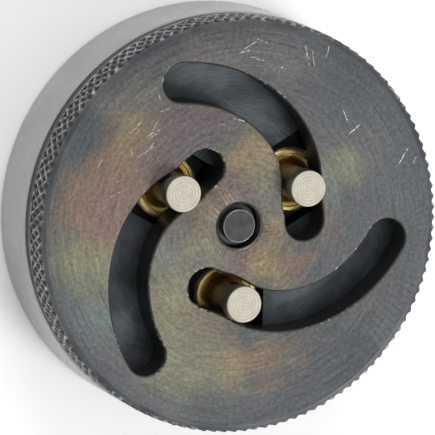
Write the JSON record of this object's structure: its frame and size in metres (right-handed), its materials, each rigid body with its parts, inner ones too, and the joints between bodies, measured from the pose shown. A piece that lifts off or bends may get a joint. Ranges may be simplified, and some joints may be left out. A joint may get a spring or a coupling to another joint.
{
  "type": "three-pin scroll driver",
  "caption": "Self-centring face-pin driver: a knurled disc with spiral slots moves radial pins in a cup-shaped body with a square drive socket.",
  "frame": {"origin": "centre of the flat back face", "axes": "+Z along the turning axis, towards the pins; +X and +Y lie in the back face, with the third jaw along -Y"},
  "size_m": [0.06, 0.06, 0.0206],
  "materials": {
    "body_steel": "satin, ground, with fine marks",
    "disc_steel": "turned, dark, with heat tints in brown, violet, olive and blue-grey",
    "guide_steel": "turned, dark blue-grey",
    "stud_steel": "turned, dark",
    "pin_steel": "turned end faces, bright",
    "collar_brass": "turned",
    "black_steel": "black oxide, satin",
    "spring_steel": "phosphated, dull",
    "dowel_steel": "ground"
  },
  "bodies": {
    "body": {"body": "body_steel", "guide_plate": "guide_steel", "plate_screws": "black_steel", "plate_dowels": "dowel_steel", "centre_stud": "stud_steel", "retaining_ring": "spring_steel", "thrust_washer": "dowel_steel", "wave_washer": "dowel_steel"},
    "scroll": {"scroll_disc": "disc_steel"},
    "jaw_1": {"jaw_1_pin": "pin_steel", "jaw_1_bush": "collar_brass", "jaw_1_slider": "black_steel", "jaw_1_clip": "spring_steel"},
    "jaw_2": {"jaw_2_pin": "pin_steel", "jaw_2_bush": "collar_brass", "jaw_2_slider": "black_steel", "jaw_2_clip": "spring_steel"},
    "jaw_3": {"jaw_3_pin": "pin_steel", "jaw_3_bush": "collar_brass", "jaw_3_slider": "black_steel", "jaw_3_clip": "spring_steel"}
  },
  "joints": [
    {"name": "scroll_turn", "type": "hinge", "parent": "body", "child": "scroll", "pos_m": [0, 0, 0.0133], "axis": [0, 0, -1], "range_deg": [0, 80]},
    {"name": "jaw_1_slide", "type": "slide", "parent": "body", "child": "jaw_1", "axis": [0.866, 0.5, 0], "range_m": [0, 0.0111]},
    {"name": "jaw_2_slide", "type": "slide", "parent": "body", "child": "jaw_2", "axis": [-0.866, 0.5, 0], "range_m": [0, 0.0111]},
    {"name": "jaw_3_slide", "type": "slide", "parent": "body", "child": "jaw_3", "axis": [0, -1, 0], "range_m": [0, 0.0111]}
  ],
  "couplings": [
    {"joint": "jaw_1_slide", "follows": "scroll_turn", "m_per_rad": 0.00785},
    {"joint": "jaw_2_slide", "follows": "scroll_turn", "m_per_rad": 0.00785},
    {"joint": "jaw_3_slide", "follows": "scroll_turn", "m_per_rad": 0.00785}
  ]
}
